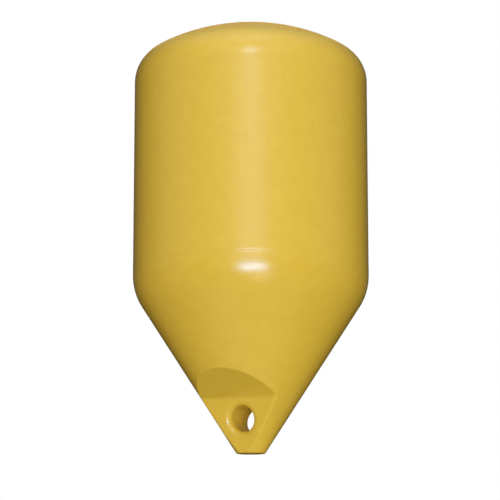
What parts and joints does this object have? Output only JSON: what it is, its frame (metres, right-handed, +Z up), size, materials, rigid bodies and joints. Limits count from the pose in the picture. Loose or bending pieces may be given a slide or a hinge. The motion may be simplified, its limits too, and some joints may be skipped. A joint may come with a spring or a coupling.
{
  "type": "mooring buoy",
  "caption": "Domed, straight-sided moulded plastic buoy over a cone, with a flat-sided lug and a through eye at its tip for the mooring.",
  "frame": {"origin": "middle of the waterline, on the hull's axis, 312 mm above the flat end of the tip", "axes": "+Z up along the hull's axis, Y along the eye's axis, X across the lug"},
  "size_m": [0.4, 0.4, 0.734],
  "materials": {
    "hull_polyethylene": "satin",
    "plug_polyethylene": "satin"
  },
  "bodies": {
    "root": {"upper_hull": "hull_polyethylene", "lower_hull": "hull_polyethylene", "fill_plug": "plug_polyethylene", "vent_plug": "plug_polyethylene"}
  },
  "joints": []
}
